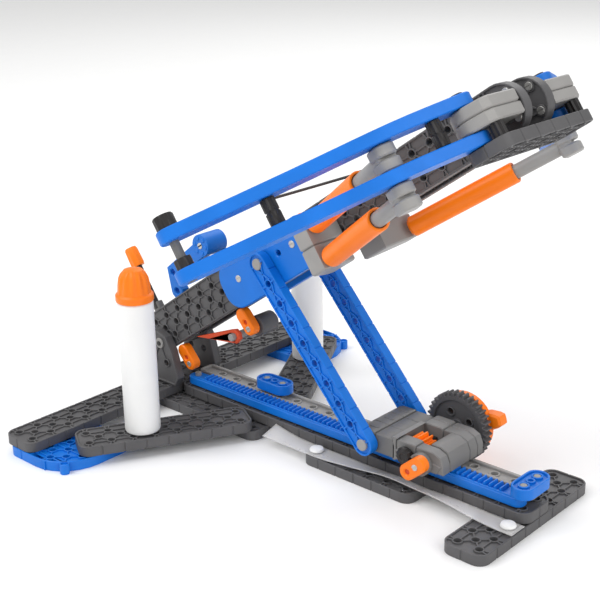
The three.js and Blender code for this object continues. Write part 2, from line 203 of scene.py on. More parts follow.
looks = {
    "dark_gray": plastic("dark_gray", (0.092, 0.09, 0.093), 0.46, 0.12, 0.06),
    "mid_gray": plastic("mid_gray", (0.14, 0.138, 0.135), 0.42, 0.08, 0.06),
    "warm_gray": plastic("warm_gray", (0.19, 0.186, 0.182), 0.4, 0.06, 0.05),
    "light_gray": plastic("light_gray", (0.3, 0.292, 0.282), 0.4, 0.05, 0.05),
    "blue": plastic("blue", (0.0, 0.16, 0.64), 0.4, 0.08, 0.04),
    "orange": plastic("orange", (1.0, 0.2, 0.0), 0.38, 0.06, 0.04),
    "black": plastic("black", (0.018, 0.016, 0.016), 0.4, 0.2, 0.07),
    "white": plastic("white", (0.86, 0.86, 0.85), 0.38, 0.02, 0.03),
    "rubber_red": plastic("rubber_red", (0.62, 0.07, 0.02), 0.6, 0.1, 0.1, 1500),
    "film": film("film"),
    "cord_black": braid("cord_black"),
    "steel": steel("steel"),
}


# ---------------------------------------------------------------- outlines, counterclockwise
def circle(x, y, radius, count=16):
    turns = [2 * math.pi * i / count for i in range(count)]
    return [(x + radius * math.cos(a), y + radius * math.sin(a)) for a in turns]


def hole(x, y, radius, count=16):
    return circle(x, y, radius, count)[::-1]


def arc(x, y, radius, start, end, count):
    turns = [math.radians(start + (end - start) * i / count) for i in range(count + 1)]
    return [(x + radius * math.cos(a), y + radius * math.sin(a)) for a in turns]


def rounded(x0, y0, x1, y1, radius, count=5):
    """Rounded rectangle; radius is one number, or four for the corners --, +-, ++, -+."""
    radii = radius if isinstance(radius, (list, tuple)) else [radius] * 4
    signs = [(x0, y0, 1, 1, 180), (x1, y0, -1, 1, 270), (x1, y1, -1, -1, 0), (x0, y1, 1, -1, 90)]
    points = []
    for (x, y, sx, sy, start), r in zip(signs, radii):
        if r <= 0:
            points.append((x, y))
            continue
        points += arc(x + sx * r, y + sy * r, r, start, start + 90, count)
    return points


def strip(points, half, count=8):
    """Strip of constant width about a line of points, with round ends."""
    points = np.asarray(points, float)
    left, right = [], []
    for i, point in enumerate(points):
        way = points[min(i + 1, len(points) - 1)] - points[max(i - 1, 0)]
        way = way / np.linalg.norm(way)
        side = np.array([-way[1], way[0]]) * half
        left.append(point + side)
        right.append(point - side)

    def cap(end, inner):
        start = math.degrees(math.atan2(*(end - inner)[::-1])) - 90
        return arc(*end, half, start, start + 180, count)[1:-1]

    return [
        *map(tuple, right),
        *cap(points[-1], points[-2]),
        *map(tuple, left[::-1]),
        *cap(points[0], points[1]),
    ]


def smooth_line(points, steps=8):
    """Catmull-Rom line through points of any dimension."""
    points = np.asarray(points, float)
    padded = np.vstack([2 * points[0] - points[1], points, 2 * points[-1] - points[-2]])
    line = []
    for a, b, c, d in zip(padded, padded[1:], padded[2:], padded[3:]):
        for i in range(steps):
            t = i / steps
            line.append(0.5 * (2 * b + (c - a) * t + (2 * a - 5 * b + 4 * c - d) * t**2
                               + (3 * b - a - 3 * c + d) * t**3))
    line.append(points[-1])
    return np.array(line)


def gear(teeth, module, inset=0.0):
    pitch = teeth * module / 2
    step = 360 / teeth
    marks = [(-1.15, 0.36), (-0.6, 0.29), (0.1, 0.21), (0.9, 0.1)]
    points = []
    for i in range(teeth):
        middle = i * step - 90
        for depth, share in marks:
            points.append((pitch + depth * module - inset, middle - share * step))
        for depth, share in marks[::-1]:
            points.append((pitch + depth * module - inset, middle + share * step))
    return [(r * math.cos(math.radians(a)), r * math.sin(math.radians(a))) for r, a in points]


# ---------------------------------------------------------------- solids, as (points, faces)
def inset_loop(loop, distance):
    points = np.asarray(loop, float)
    before = points - np.roll(points, 1, axis=0)
    after = np.roll(before, -1, axis=0)
    normals = []
    for edge in (before, after):
        length = np.maximum(np.linalg.norm(edge, axis=1), 1e-9)
        normals.append(np.stack([-edge[:, 1], edge[:, 0]], axis=1) / length[:, None])
    widening = np.maximum(1 + (normals[0] * normals[1]).sum(axis=1), 0.5)
    return points + distance * (normals[0] + normals[1]) / widening[:, None]


def prism(loops, z0, z1, bevel=0.25):
    """Upright solid between z0 and z1 with bevelled edges. The first loop is its outline, counterclockwise,
    and the rest are holes, clockwise."""
    loops = [loops] if not isinstance(loops[0][0], (tuple, list, np.ndarray)) else loops
    points, faces, caps = [], [], ([], [])
    levels = [(z0, bevel), (z0 + bevel, 0), (z1 - bevel, 0), (z1, bevel)] if bevel else [(z0, 0), (z1, 0)]
    for loop in loops:
        start, count = len(points), len(loop)
        rings = [(inset_loop(loop, cut) if cut else np.asarray(loop, float), z) for z, cut in levels]
        for ring, z in rings:
            points += [(x, y, z) for x, y in ring]
        for level in range(len(rings) - 1):
            low, high = start + level * count, start + (level + 1) * count
            for i in range(count):
                j = (i + 1) % count
                faces.append((low + i, low + j, high + j, high + i))
        caps[0].append([start + i for i in range(count)])
        caps[1].append([start + (len(rings) - 1) * count + i for i in range(count)])
    for side, cap in enumerate(caps):
        flat = [index for ring in cap for index in ring]
        rings = [[Vector((*points[i][:2], 0)) for i in ring] for ring in cap]
        for triangle in tessellate_polygon(rings):
            a, b, c = (flat[i] for i in triangle)
            (ax, ay, _), (bx, by, _), (cx, cy, _) = points[a], points[b], points[c]
            area = (bx - ax) * (cy - ay) - (by - ay) * (cx - ax)
            if abs(area) < 1e-12:
                continue
            faces.append((a, b, c) if (area > 0) == (side == 1) else (a, c, b))
    return points, faces


def turned(profile, count=24, flutes=0, depth=0.0, fluted=()):
    """Turned solid about Z from (radius, z) points, from axis to axis or round a closed ring.
    Points whose place in the profile is in fluted wave in and out."""
    closed = profile[0][0] > 0
    points, faces, rings = [], [], []
    for place, (radius, z) in enumerate(profile):
        if radius <= 0:
            rings.append([len(points)] * count)
            points.append((0, 0, z))
            continue
        ring = []
        for i in range(count):
            a = 2 * math.pi * i / count
            r = radius - (depth * (0.5 + 0.5 * math.cos(flutes * a)) if place in fluted else 0)
            ring.append(len(points))
            points.append((r * math.cos(a), r * math.sin(a), z))
        rings.append(ring)
    pairs = list(zip(rings, rings[1:])) + ([(rings[-1], rings[0])] if closed else [])
    for low, high in pairs:
        for i in range(count):
            j = (i + 1) % count
            face = []
            for index in (low[i], low[j], high[j], high[i]):
                if index not in face:
                    face.append(index)
            if len(face) > 2:
                faces.append(tuple(face))
    return points, faces


def rod(radius, z0, z1, bevel=0.3, count=20):
    wall = [(radius - bevel, z0), (radius, z0 + bevel), (radius, z1 - bevel), (radius - bevel, z1)]
    return turned([(0, z0), *wall, (0, z1)], count)


def swept(line, radius, count=8):
    """Round bar along a line of points."""
    line = np.asarray(line, float)
    points, faces = [], []
    way = np.gradient(line, axis=0)
    way /= np.linalg.norm(way, axis=1)[:, None]
    side = np.cross(way[0], (0.0, 0.0, 1.0))
    if np.linalg.norm(side) < 1e-3:
        side = np.array((1.0, 0.0, 0.0))
    for point, along in zip(line, way):
        side = side - along * (side @ along)
        side /= np.linalg.norm(side)
        other = np.cross(along, side)
        for i in range(count):
            a = 2 * math.pi * i / count
            points.append(point + radius * (math.cos(a) * side + math.sin(a) * other))
    for ring in range(len(line) - 1):
        low, high = ring * count, (ring + 1) * count
        for i in range(count):
            j = (i + 1) % count
            faces.append((low + i, low + j, high + j, high + i))
    last = (len(line) - 1) * count
    faces.append(tuple(range(count))[::-1])
    faces.append(tuple(last + i for i in range(count)))
    return points, faces


def slotted(radius, z, height=0.5, slot=0.7):
    """Head of a pin with a screwdriver slot: two half discs on a full one."""
    shapes = [rod(radius, z - 1.5, z, 0.1, 16)]
    angle = math.degrees(math.asin(slot / 2 / radius))
    for start in (angle, 180 + angle):
        half = arc(0, 0, radius, start, start + 180 - 2 * angle, 10)
        shapes.append(prism(half, z - 0.1, z + height, 0.12))
    return shapes


# ---------------------------------------------------------------- placing
def shift(x=0.0, y=0.0, z=0.0):
    made = np.eye(4)
    made[:3, 3] = (x, y, z)
    return made


def turn(axis, degrees):
    return np.array(Matrix.Rotation(math.radians(degrees), 4, axis))


# Y stands up, and the thickness runs to +Y
STAND = np.array([[1, 0, 0, 0], [0, 0, 1, 0], [0, 1, 0, 0], [0, 0, 0, 1]], float)
ARM = np.array([[COS, 0, -SIN, ARM_X], [0, 1, 0, 0], [SIN, 0, COS, ARM_Z], [0, 0, 0, 1]])
ALONG_X = turn("Y", 90)


def standing(y0, x=0.0, z=0.0, degrees=0.0):
    """A shape drawn in X and Y stands in X and Z, turned by degrees, from y0 towards +Y."""
    return shift(x, y0, z) @ turn("Y", -degrees) @ STAND


class Solid:
    """Several closed shapes in one mesh."""

    def __init__(self, place=None):
        self.points, self.faces = [], []
        self.place = np.eye(4) if place is None else place

    def add(self, shape, place=None):
        shapes = shape if isinstance(shape, list) else [shape]
        full = self.place if place is None else self.place @ place
        flip = np.linalg.det(full[:3, :3]) < 0
        for points, faces in shapes:
            start = len(self.points)
            moved = np.asarray(points, float) @ full[:3, :3].T + full[:3, 3]
            self.points += list(moved)
            for face in faces:
                shifted = tuple(start + i for i in face)
                self.faces.append(shifted[::-1] if flip else shifted)
        return self


def piece(name, solid, look, body, *replaced, mirror=False, sharp=32):
    """A finished object from a Solid, riding on a body."""
    points = np.asarray(solid.points, float)
    faces = solid.faces
    if mirror:
        points = points * (1, -1, 1)
        faces = [face[::-1] for face in faces]
    mesh = bpy.data.meshes.new(name)
    mesh.from_pydata((points * SCALE).tolist(), [], faces)
    mesh.polygons.foreach_set("use_smooth", [True] * len(mesh.polygons))
    mesh.set_sharp_from_angle(angle=math.radians(sharp))
    mesh.materials.append(looks[look])
    made = bpy.data.objects.new(name, mesh)
    bpy.context.scene.collection.objects.link(made)
    if body:
        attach(made, body)
    if replaced:
        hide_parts(*replaced)
    return made


def pair(name, solid, look, body, *replaced):
    """The same object on the right and, mirrored, on the left. {} stands for the side's letter."""
    made = []
    for side in "rl":
        nodes = [n.format(side) for n in replaced]
        made.append(piece(f"{name}_{side}", solid, look, body.format(side), *nodes, mirror=side == "l"))
    return made


# ---------------------------------------------------------------- beams
def beam_outline(length, width, radii):
    """Outline of a beam with a shallow groove at every pitch."""
    x1, half = length * P, width * P / 2
    plain = rounded(0, -half, x1, half, radii, 7)
    deep, wide = 0.4, 0.55
    points = []
    for a, b in zip(plain, plain[1:] + plain[:1]):
        points.append(a)
        run = math.hypot(b[0] - a[0], b[1] - a[1])
        if run < P:
            continue
        along = ((b[0] - a[0]) / run, (b[1] - a[1]) / run)
        inward = (-along[1], along[0])
        axis = 0 if abs(along[0]) > 0.5 else 1
        offset = 0 if axis == 0 else half
        step = 1 if along[axis] > 0 else -1
        marks = [k * P - offset for k in range(1, length if axis == 0 else width)][::step]
        for mark in marks:
            reach = (mark - a[axis]) * step
            if reach < wide + 0.3 or reach > run - wide - 0.3:
                continue
            for along_by, in_by in ((-wide, 0), (-0.3 * wide, deep), (0.3 * wide, deep), (wide, 0)):
                points.append((
                    a[0] + along[0] * (reach + along_by) + inward[0] * in_by,
                    a[1] + along[1] * (reach + along_by) + inward[1] * in_by,
                ))
    return points


def bar(a, b, cut_a, cut_b, half, z0, z1):
    """Straight rib from a to b, ending short of both."""
    a, b = np.asarray(a, float), np.asarray(b, float)
    way = (b - a) / np.linalg.norm(b - a)
    side = np.array([-way[1], way[0]]) * half
    start, end = a + way * cut_a, b - way * cut_b
    corners = [start - side, end - side, end + side, start + side]
    return prism([tuple(corner) for corner in corners], z0, z1, 0.15)


def beam(length, width, radii=CORNER):
    """A beam along X from 0, centred on Y, one layer thick: wall, web, hole rings and lattice ribs."""
    half = width * P / 2
    radii = radii if isinstance(radii, (list, tuple)) else [radii] * 4
    if width == 1:
        holes = [((k + 0.5) * P, 0.0) for k in range(length)]
        centres = []
    else:
        rows = [(j + 0.5) * P - half for j in range(width)]
        holes = [((k + 0.5) * P, y) for k in range(length) for y in rows]
        centres = [(k * P, j * P - half) for k in range(1, length) for j in range(1, width)]
    inner = rounded(RIM, RIM - half, length * P - RIM, half - RIM, [max(r - RIM, 0.3) for r in radii], 7)
    wider = rounded(
        0.5, 0.5 - half, length * P - 0.5, half - 0.5, [max(r - 0.5, 0.3) for r in radii], 7)
    shapes = [prism([beam_outline(length, width, radii), inner[::-1]], 0, LAYER, 0.3)]
    rings = holes + centres
    shapes.append(prism([wider] + [hole(x, y, HOLE + 0.45, 12) for x, y in rings], SINK, LAYER - SINK, 0))
    for x, y in rings:
        shapes.append(prism([circle(x, y, BOSS), hole(x, y, HOLE)], 0, LAYER, 0.18))
    low, high = 0.12, LAYER - 0.12
    start = HOLE + 0.5
    for x, y in centres:
        for dx, dy in ((T, T), (T, -T), (-T, T), (-T, -T)):
            shapes.append(bar((x, y), (x + dx, y + dy), start, start, RIB / 2, low, high))
    for x, y in holes:
        if width > 1 and x + P < length * P:
            shapes.append(bar((x, y), (x + P, y), start, start, RIB / 2, low, high))
        square = max(radii) <= CORNER or P < x < (length - 1) * P
        if width > 1 and half - abs(y) < P and square:
            side = math.copysign(half - 0.6, y)
            for lean in (-1.5, 1.5):
                shapes.append(bar((x, y), (x + lean, side), start, 0, RIB / 2, low, high))
        if width == 1:
            for dy in (half - 0.6, 0.6 - half):
                shapes.append(bar((x, y), (x, dy), start, 0, RIB / 2, low, high))
    if width == 1:
        for x, _ in holes[:-1]:
            for sign in (1, -1):
                ends = (x + 1.2, -sign * 2.6), (x + P - 1.2, sign * 2.6)
                shapes.append(bar(*ends, 0.3, 0.3, RIB / 2, low, high))
    return shapes


make_camera()


# ---------------------------------------------------------------- base
def build_base():
    def flat_beam(name, length, width, x, y, z, degrees=0, radii=CORNER, look="dark_gray", side=None):
        solid = Solid(shift(x, y, z) @ turn("Z", degrees))
        solid.add(beam(length, width, radii))
        if side:
            pair(name, solid, look, "root", f"{side}_{{}}")
        else:
            piece(name, solid, look, "root", name.replace("_body", ""))

    flat_beam("base_beam_body", 20, 2, 0, 0, T)
    flat_beam("front_cross_beam_body", 8, 2, 19 * P, -4 * P, 0, 90)
    flat_beam("rear_plate_body", 8, 4, -2 * P, 0, 0)
    flat_beam("side_plate_body", 6, 4, 9 * P, 0, 0)
    flat_beam("leg", 10, 2, -P, -10 * P, T, 90, side="leg_beam")
    flat_beam("brace", 8, 2, 14.1, -105.2, T, 60, side="leg_brace")
    flat_beam("foot", 4, 4, -1.75 * P, -8 * P, 0, 0, [CORNER, 2 * P, CORNER, CORNER], "blue", "foot_plate")
    build_brackets()
    build_base_pins()


def build_brackets():
    outline = [
        (-2 * P, P + GAP), (0.2 * P, P + GAP), (0.45 * P, 1.45 * P), (0.05 * P, 2.8 * P),
        (-0.35 * P, 3.45 * P), (-P, 3.65 * P), (-1.7 * P, 3.2 * P),
    ]
    holes = [(PIVOT[0], PIVOT[1]), (-0.35 * P, 2.1 * P), (-1.3 * P, 2.1 * P)]
    solid = Solid(standing(-1.5 * P))
    solid.add(prism([outline] + [hole(x, y, HOLE) for x, y in holes], 0.9, LAYER - 0.2, 0.4))
    inner = inset_loop(outline, 1.3)
    solid.add(prism([outline, [tuple(p) for p in inner[::-1]]], 0, 1.3, 0.25))
    for x, y in holes:
        solid.add(prism([circle(x, y, BOSS), hole(x, y, HOLE)], 0, 1.4, 0.18))
    solid.add(bar(holes[0], holes[1], 2.6, 2.6, 0.5, 0.2, 1.3))
    solid.add(bar(holes[0], holes[2], 2.6, 2.6, 0.5, 0.2, 1.3))
    pair("pivot_bracket_body", solid, "dark_gray", "root", "pivot_bracket_{}")


def build_base_pins():
    """Pin ends that show on the base."""
    pins = Solid()
    for side in (-1, 1):
        at = shift(PIVOT[0], side * (1.5 * P + 0.2), PIVOT[1])
        pins.add(rod(3.4, 0, 1.3, 0.4), at @ turn("X", 90 * side))
    pins.add(rod(1.9, 0, 3, 0.3), shift(0.75 * P, -5.1, 1.5 * P - 2))
    piece("base_pins", pins, "light_gray", "root")
    axle = Solid(standing(-1.5 * P - 0.8, PIVOT[0], PIVOT[1]))
    axle.add(rod(1.55, 0, 3 * P + 1.6, 0.2, 12))
    piece("pivot_axle", axle, "black", "root")


# ---------------------------------------------------------------- rack, rail, stops and film strip
RACK_Y = (-9.8, -0.4)
RAIL_Y = 12.2
RACK_X = (0.3 * P, 19.55 * P)
RAIL_TOP = 1.5 * P
MODULE = P / 12
FILM_PINS = (9.5 * P, 19.5 * P)


def build_track():
    tooth = math.pi * MODULE
    pitch_z = SHAFT_Z - 6 * MODULE
    root_z, tip_z = pitch_z - 1.2 * MODULE, pitch_z + 0.85 * MODULE
    back = math.floor((SHAFT_X - RACK_X[0] - P) / tooth)
    ahead = math.floor((18.8 * P - SHAFT_X) / tooth)
    rack = Solid()
    half = (RACK_Y[1] - RACK_Y[0]) / 2
    plan = rounded(RACK_X[0], RACK_Y[0], RACK_X[1], RACK_Y[1], [half - 0.5] * 4, 8)
    rack.add(prism(plan, P + 0.05, root_z, 0.4))
    for i in range(-back, ahead):
        x = SHAFT_X + (i + 0.5) * tooth
        flank = [(0.3 * tooth, root_z - 0.5), (0.24 * tooth, root_z + 0.9), (0.11 * tooth, tip_z)]
        profile = [(x + out, z) for out, z in flank] + [(x - out, z) for out, z in flank[::-1]]
        rack.add(prism(profile, 0, RACK_Y[1] - RACK_Y[0] - 2.0, 0.12), standing(RACK_Y[0] + 1.4))
    lip = rounded(RACK_X[0] + 5, RACK_Y[0] + 0.35, RACK_X[1] - 5, RACK_Y[0] + 1.3, 0.3, 2)
    rack.add(prism(lip, root_z - 0.3, root_z + 0.9, 0.2))
    piece("rack_body", rack, "blue", "root", "rack_gear")

    rail = Solid(shift(0, (RAIL_Y - RACK_Y[1]) / 2, P))
    half = (RAIL_Y + RACK_Y[1]) / 2
    holes = [((k + 0.5) * P, 0) for k in range(1, 19)]
    outline = rounded(RACK_X[0], -half, RACK_X[1], half, 3, 5)
    floor = rounded(RACK_X[0] + 0.5, 0.5 - half, RACK_X[1] - 0.5, half - 0.5, 2.5, 5)
    channel = rounded(RACK_X[0] + 2, 2.2 - half, RACK_X[1] - 2, half - 2.2, 1, 3)
    rail.add(prism([outline, channel[::-1]], 0, LAYER, 0.35))
    rail.add(prism([floor] + [hole(x, y, HOLE + 0.4, 12) for x, y in holes], 0.3, LAYER - 1.6, 0))
    for x, y in holes:
        rail.add(prism([circle(x, y, 3.1), hole(x, y, HOLE)], 0.2, LAYER - 0.9, 0.2))
    piece("rail_body", rail, "light_gray", "root", "slide_rail")
    build_stops()
    build_film()


def stop_block(length):
    """Blue two-hole block with a pin in each end and a small ring between."""
    shapes = [prism(rounded(0.5, 0.5 - T, length - 0.5, T - 0.5, T - 0.6, 9), 0.1, LAYER - 1.2, 0.35)]
    ends = (T, length - T)
    shapes.append(prism([rounded(0, -T, length, T, T - 0.05, 9),
                         rounded(1.3, 1.3 - T, length - 1.3, T - 1.3, T - 1.4, 9)[::-1]], 0, LAYER, 0.3))
    for x in ends:
        shapes.append(prism([circle(x, 0, 3.1), hole(x, 0, HOLE)], 0.5, LAYER, 0.2))
    shapes.append(prism([circle(length / 2, 0, 2.6), hole(length / 2, 0, 1.5)], 0.5, LAYER, 0.2))
    return shapes


def build_stops():
    front_place = shift(19.5 * P, -P, RAIL_TOP + GAP) @ turn("Z", 90)
    front = Solid(front_place).add(stop_block(2 * P))
    piece("front_stop_body", front, "blue", "root", "front_stop")
    pins = Solid(front_place)
    for x in (T, 1.5 * P):
        pins.add(rod(1.95, LAYER - 2, LAYER - 0.1, 0.3, 16), shift(x))
    piece("front_stop_pins", pins, "light_gray", "root")

    rear_place = shift(4.6 * P - T, T, RAIL_TOP + GAP + 1)
    rear = Solid(rear_place).add(stop_block(2 * P))
    piece("rear_stop_body", rear, "blue", "rear_stop_arm", "rear_stop")
    pins = Solid(rear_place)
    for x in (T, 1.5 * P):
        pins.add(rod(1.95, LAYER - 2, LAYER - 0.1, 0.3, 16), shift(x))
    piece("rear_stop_pins", pins, "light_gray", "rear_stop_arm")


def build_film():
    """Thin see-through strip, pinned flat at both caps and buckling up between them."""
    x0, x1 = 83.8, 253.6
    y0, y1 = -25.2, -13.2
    across, along = 8, 90
    pins = FILM_PINS
    rows = []
    for i in range(along + 1):
        x = x0 + (x1 - x0) * i / along
        span = min(max((x - pins[0]) / (pins[1] - pins[0]), 0), 1)
        lift = math.sin(math.pi * span) ** 2
        lean = math.radians(38) * lift
        start = min(max((pins[0] - 9 - x) / 28, 0), 1)
        row = []
        for j in range(across + 1):
            v = j / across
            y = y0 + (y1 - y0) * v
            height = T + 0.45 + 5.2 * lift * (1 - v) * math.cos(lean) + 3.5 * start * start * v
            row.append((x, y + 1.6 * lift * (1 - v), height + 0.35 * lift * math.sin(6 * math.pi * span)))
        rows.append(row)
    points, faces = [p for row in rows for p in row], []
    width = across + 1
    for i in range(along):
        for j in range(across):
            a = i * width + j
            faces.append((a, a + width, a + width + 1, a + 1))
    sheet = Solid().add((points, faces))
    strip_piece = piece("film_strip_sheet", sheet, "film", "root", "film_strip", sharp=80)
    thick = strip_piece.modifiers.new("thickness", "SOLIDIFY")
    thick.thickness = 0.35 * SCALE
    thick.offset = 0
    caps = Solid()
    profile = [(0, -5), (1.9, -5), (1.9, 0.2), (3.9, 0.3), (4.2, 0.9), (3.7, 1.9), (2.0, 2.35), (0, 2.4)]
    for x in pins:
        caps.add(turned(profile, 24), shift(x, -1.5 * P, T + 0.7))
    piece("film_pin_caps", caps, "white", "root")


# ---------------------------------------------------------------- carriage
HOUSING = 1.5 * P - GAP
GEAR_Y = 2 * P + GAP
PINION_Y = (RACK_Y[0] + RACK_Y[1]) / 2
PINION_HALF = (RACK_Y[1] - RACK_Y[0]) / 2 - 0.1


def build_carriage():
    rear0, rear1 = FOOT_X - 0.75 * P, FOOT_X + 1.35 * P
    front1 = SHAFT_X + 1.8 * P
    low = RAIL_TOP + 1.3
    high = 2.5 * P

    def rib_block(x0, x1, y0, y1, top, cut0, cut1):
        front = [(x1, low), (x1, top - cut1), (x1 - cut1 * 0.3, top - cut1 * 0.3), (x1 - cut1, top)]
        back = [(x0 + cut0, top), (x0 + cut0 * 0.3, top - cut0 * 0.3), (x0, top - cut0)]
        outline = [(x0, low), *front, *back]
        return prism(outline, 0, y1 - y0, 0.45), standing(y0)

    rear = Solid()
    middle = (rear0 + rear1) / 2
    edges = [-HOUSING, -0.5 * P, 0.55 * P, HOUSING]
    for y0, y1 in zip(edges, edges[1:]):
        rear.add(*rib_block(rear0, middle - 0.1, y0, y1 - 0.15, high, 4.5, 0.8))
        rear.add(*rib_block(middle + 0.1, rear1, y0, y1 - 0.15, high - 0.4, 0.8, 3.2))
    for y0, y1 in zip(edges, edges[1:]):
        centre = (y0 + y1) / 2
        ridge = rounded(rear0 + 5, centre - 1.2, middle - 2, centre + 1.2, 1, 4)
        rear.add(prism(ridge, high - 0.2, high + 0.25, 0.1))
    piece("carriage_rear", rear, "mid_gray", "carriage", "gearbox_housing")

    hood = Solid()
    start = rear1 + GAP
    top = 2.6 * P
    for y0, y1 in ((0.5 * P, 1.05 * P), (1.05 * P, HOUSING)):
        hood.add(*rib_block(start, SHAFT_X + 0.4 * P, y0, y1 - 0.15, top, 1.5, 1.5))
        hood.add(*rib_block(SHAFT_X + 0.42 * P, front1, y0, y1 - 0.15, top - 0.4, 1.0, 6.5))
    hood.add(*rib_block(start, SHAFT_X - 0.7 * P, -HOUSING, 0.5 * P, top, 1.5, 0.8))
    hood.add(*rib_block(SHAFT_X + 0.8 * P, front1, -0.9 * P, 0.5 * P - 0.2, top - 0.4, 1.0, 6.5))
    near = -HOUSING + 0.6
    hood.add(*rib_block(start, SHAFT_X + 0.4 * P, near, -0.8 * P, top - 0.8, 1.5, 1.5))
    hood.add(*rib_block(SHAFT_X + 0.42 * P, front1, near, -0.92 * P, top - 1.2, 1.0, 6.5))
    wall_top = 2.1 * P
    side = [(start, low), (front1 - 4, low), (front1 - 1, 2 * P), (SHAFT_X + 0.7 * P, wall_top), (start, wall_top)]
    hood.add(prism([side, hole(SHAFT_X, SHAFT_Z, 2.4)], 0, 1.5, 0.4), standing(-HOUSING))
    for x in (start + 2, start + 4, start + 6):
        hood.add(prism(rounded(x, low + 1.5, x + 0.9, 2 * P, 0.4, 3), -0.4, 1, 0.2), standing(-HOUSING))
    boss = arc(0, 0, 6.2, -120, 150, 18) + arc(0, 0, 4.7, 150, -120, 18)
    hood.add(prism(boss, 0, 4.2, 0.3), standing(-HOUSING - 3.6, SHAFT_X + 0.8 * P, 1.9 * P))
    hood.add(rod(3.9, 0, 4.3, 0.3), standing(-HOUSING - 3.7, SHAFT_X + 0.8 * P, 1.9 * P))
    piece("carriage_hood", hood, "warm_gray", "carriage", "gearbox_cover")
    build_crank()
    build_lock()
    build_strut_pins()


def build_crank():
    at = (SHAFT_X, SHAFT_Z)
    pinion = Solid(standing(PINION_Y - PINION_HALF, *at))
    pinion.add(prism([gear(12, MODULE, 0.3), hole(0, 0, 1.95, 12)], 0, 2 * PINION_HALF, 0.25))
    piece("pinion_body", pinion, "orange", "crank", "pinion")

    big = Solid(standing(GEAR_Y, *at))
    big.add(prism([gear(36, MODULE, 0.05), hole(0, 0, 15.4, 36)], 0, LAYER, 0.2))
    ring = circle(0, 0, 9, 12)[1::3]
    windows = [hole(x, y, HOLE, 12) for x, y in ring]
    big.add(prism([circle(0, 0, 15.8, 36), hole(0, 0, 1.9, 12), *windows], 1.3, LAYER - 1.2, 0))
    for x, y in ring:
        big.add(prism([circle(x, y, BOSS), hole(x, y, HOLE)], 0.5, LAYER - 0.3, 0.15))
    big.add(prism([circle(0, 0, 4.6, 24), hole(0, 0, 1.9, 12)], 0, LAYER, 0.3))
    piece("crank_gear_body", big, "dark_gray", "crank", "crank_gear")

    shaft = Solid(standing(0, *at))
    shaft.add(prism(rounded(-1.55, -1.55, 1.55, 1.55, 0.3, 2), -HOUSING - 1, GEAR_Y + LAYER, 0.2))
    collar = -HOUSING - 3.6
    profile = [
        (0, collar + 0.5), (1.9, collar + 0.4), (2.3, collar), (3.9, collar),
        (5.2, collar + 0.8), (5.2, collar + 3.0), (4.9, collar + 3.2), (0, collar + 3.2),
    ]
    shaft.add(turned(profile, 24, 12, 0.5, (3, 4, 5)))
    piece("crank_shaft_body", shaft, "black", "crank", "crank_shaft")

    knob = Solid(standing(GEAR_Y + LAYER + GAP, *at, 18))
    knob.add(turned([(0, 0), (17.6, 0), (18.03, 0.4), (18.03, 3.6), (17.4, 4.5), (0, 4.5)], 40))
    edge = [(0.9, 0.32), (-1.3, 0.4), (-1.75, 0.3), (-1.93, 0.2)]
    low_edge = [(-x * P, -y * P) for x, y in edge]
    high_edge = [(-x * P, y * P) for x, y in edge[::-1]]
    grip = [*low_edge, (1.95 * P, 0), *high_edge]
    knob.add(prism(grip, 0.5, 8.4, 1.1))
    piece("crank_knob_body", knob, "orange", "crank", "crank_knob")


def build_lock():
    thick = LAYER - 1
    place = standing(-HOUSING - 4.3 - thick, SHAFT_X + 0.8 * P, 1.9 * P, 41)
    lever = Solid(place)
    outline = rounded(-0.73 * P, -0.36 * P, 0.73 * P, 0.36 * P, 0.35 * P, 7)
    lever.add(prism([outline, hole(-0.35 * P, 0, 1.5)], 0, thick, 0.8))
    piece("lock_lever_body", lever, "orange", "lock", "lock_lever")
    screws = Solid(place @ turn("X", 180))
    screws.add(slotted(1.7, 0.1, 0.4), shift(0.2 * P))
    piece("lock_screw", screws, "steel", "lock")
    dark = Solid(place)
    dark.add(rod(1.45, 1.0, thick - 0.5, 0.1, 14), shift(-0.35 * P))
    piece("lock_pin", dark, "rubber_red", "lock")


def build_strut_pins():
    pins = Solid(standing(-2 * P - 0.6, FOOT_X, 2 * P))
    pins.add(rod(3.3, 0, 2.2, 0.4, 20))
    pins.add(rod(1.9, 0.5, 7, 0.2, 14))
    pair("strut_foot_pin", pins, "light_gray", "struts")


# ---------------------------------------------------------------- struts
def build_struts():
    place = standing(-2 * P + GAP / 2, *STRUT_TOP, math.degrees(STRUT_ANGLE)) @ shift(-T)
    solid = Solid(place).add(beam(10, 1, T - 0.1))
    pair("strut_body", solid, "blue", "struts", "strut_{}")
    pins = Solid(standing(-2 * P - 0.35, *STRUT_TOP))
    pins.add(rod(3.3, 0, 2.0, 0.4, 20))
    pair("strut_top_pin", pins, "light_gray", "struts")


# ---------------------------------------------------------------- arm
LIMB_ROOT = (301, -34)
LIMB_LINE = [LIMB_ROOT, (284, -66), (252, -102), (216, -146)]
LIMB_HALF = 0.48 * P
LIMB_LOW = -P + GAP / 2
LIMB_HIGH = T + GAP / 2
POST = (244, -112)
ROOT_POST = (295, -50)
TIP_POST = LIMB_LINE[-1]
PISTON_TAIL = np.array((188, -33.0))
PISTON_HEAD = np.array((278.3, -69.2))
TUBE_LENGTH = 66
TUBE_R = 5.8
ROD_R = 3.9
LEVELS = {"upper": 0, "lower": -1.5 * P}


